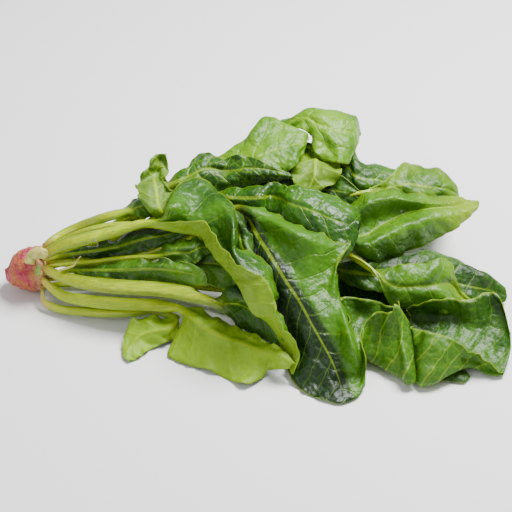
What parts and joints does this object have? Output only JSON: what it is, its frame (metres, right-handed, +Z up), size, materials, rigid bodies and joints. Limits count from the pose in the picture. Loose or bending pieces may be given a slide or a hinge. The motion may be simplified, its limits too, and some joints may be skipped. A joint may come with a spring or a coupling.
{
  "type": "spinach bunch",
  "caption": "Whole spinach plant as picked, lying on its side: long stalks fan out from a pink root crown into folded, crinkled green leaves.",
  "frame": {"origin": "centre of the bunch's box, at the surface it lies on", "axes": "+X from the root crown to the leaf tips, +Y from the front of the bunch to its back, +Z up"},
  "size_m": [0.3012, 0.2216, 0.0808],
  "materials": {
    "crown": "pink-red root crown, matt and ridged",
    "cream": "cream, dry cut stem",
    "leaf": "fresh green leaf, glossy upper side, with a pale lime stalk",
    "dark_leaf": "dark green leaf, glossy upper side, with a pale lime stalk",
    "light_leaf": "light green leaf with a pale lime stalk",
    "pale_leaf": "leaf showing its paler, matt underside, with a pale lime stalk"
  },
  "bodies": {
    "root": {"floor_back_leaf": "leaf", "back_drape_leaf": "leaf", "floor_front_leaf": "dark_leaf", "far_back_leaf": "dark_leaf", "right_back_leaf": "light_leaf", "inner_back_leaf": "dark_leaf", "tucked_leaf": "pale_leaf", "top_back_leaf": "light_leaf", "peaked_leaf": "light_leaf", "veined_leaf": "dark_leaf", "low_back_leaf": "pale_leaf", "pointed_leaf": "leaf", "middle_right_leaf": "leaf", "wet_leaf": "leaf", "right_trough_leaf": "leaf", "front_trough_leaf": "leaf", "front_leaf": "leaf", "rolled_leaf": "dark_leaf", "short_dark_leaf": "leaf", "young_upper_leaf": "dark_leaf", "young_light_leaf": "light_leaf", "young_lower_leaf": "leaf", "middle_front_leaf": "leaf", "small_ribbed_leaf": "leaf", "upright_leaf": "pale_leaf", "left_trough_leaf": "leaf", "bottom_lobe_leaf": "pale_leaf", "front_low_leaf": "pale_leaf", "root_crown": "crown", "cut_stub": "cream", "green_sprout": "leaf", "dry_tendril": "cream"}
  },
  "joints": []
}
